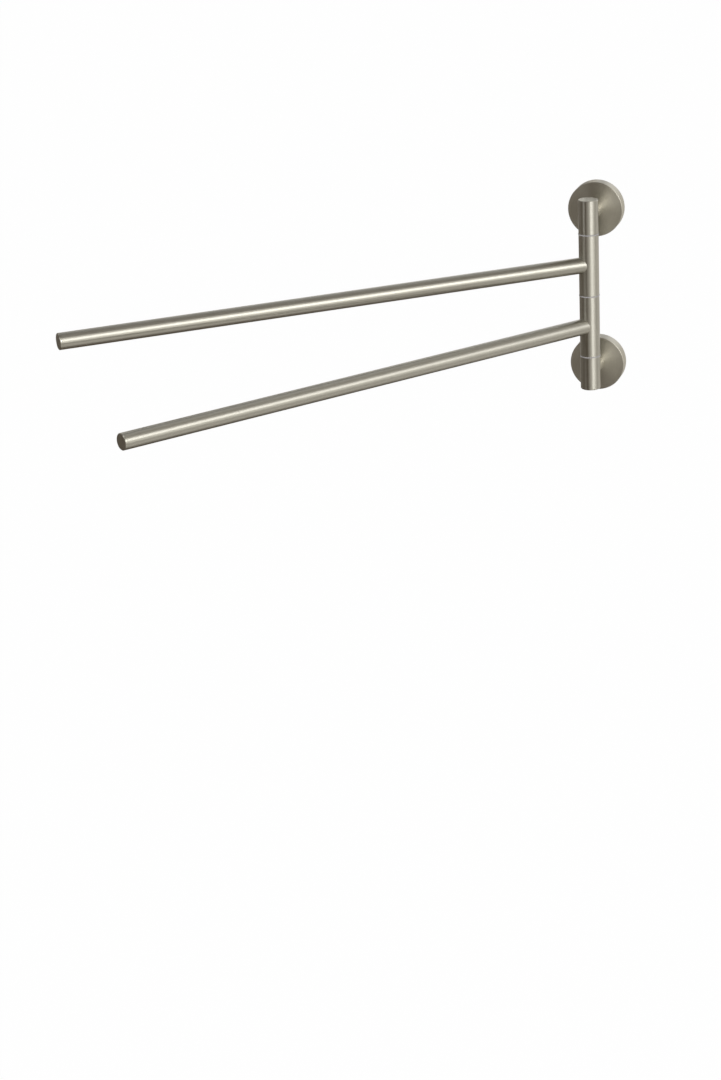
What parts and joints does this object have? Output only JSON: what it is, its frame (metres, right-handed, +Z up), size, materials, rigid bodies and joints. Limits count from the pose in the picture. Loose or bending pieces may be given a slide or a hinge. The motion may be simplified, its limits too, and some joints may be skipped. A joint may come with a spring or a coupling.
{
  "type": "swivel towel holder",
  "caption": "Wall-mounted round column with swivelling tubular towel arms, carried on round wall plates by short posts, in brushed steel.",
  "frame": {"origin": "on the wall's surface, at the centre of the four wall screw holes, midway between the wall plates", "axes": "+X along the wall, +Y into the wall, +Z up along the column"},
  "size_m": [0.4558, 0.4838, 0.2146],
  "materials": {
    "column_steel": "satin brushed, warm grey",
    "arm_steel": "satin brushed along the tube, warm grey",
    "rosette_steel": "turned face with fine concentric lines, warm grey",
    "bracket_steel": "plain zinc plated, hidden in use",
    "screw_steel": "plain turned steel, hidden in use",
    "washer_plastic": "natural translucent nylon",
    "bush_plastic": "natural acetal, hidden in use"
  },
  "bodies": {
    "wall_frame": {"upper_wall_bracket": "bracket_steel", "lower_wall_bracket": "bracket_steel", "upper_rosette": "rosette_steel", "lower_rosette": "rosette_steel", "upper_set_screw": "screw_steel", "lower_set_screw": "screw_steel", "upper_post": "column_steel", "lower_post": "column_steel", "upper_post_screw": "screw_steel", "lower_post_screw": "screw_steel", "top_end_piece": "column_steel", "bottom_end_piece": "column_steel", "pivot_shaft": "screw_steel", "top_washer": "washer_plastic", "middle_washer": "washer_plastic", "bottom_washer": "washer_plastic"},
    "upper_arm": {"upper_sleeve": "column_steel", "upper_sleeve_top_bush": "bush_plastic", "upper_sleeve_bottom_bush": "bush_plastic", "upper_arm_tube": "arm_steel", "upper_arm_plug": "screw_steel", "upper_arm_cap": "arm_steel"},
    "lower_arm": {"lower_sleeve": "column_steel", "lower_sleeve_top_bush": "bush_plastic", "lower_sleeve_bottom_bush": "bush_plastic", "lower_arm_tube": "arm_steel", "lower_arm_plug": "screw_steel", "lower_arm_cap": "arm_steel"}
  },
  "joints": [
    {"name": "upper_arm_swing", "type": "hinge", "parent": "wall_frame", "child": "upper_arm", "pos_m": [0, -0.044, 0.0312], "axis": [0, 0, 1], "range_deg": [-39, 141]},
    {"name": "lower_arm_swing", "type": "hinge", "parent": "wall_frame", "child": "lower_arm", "pos_m": [0, -0.044, -0.0312], "axis": [0, 0, 1], "range_deg": [-53, 127]}
  ]
}
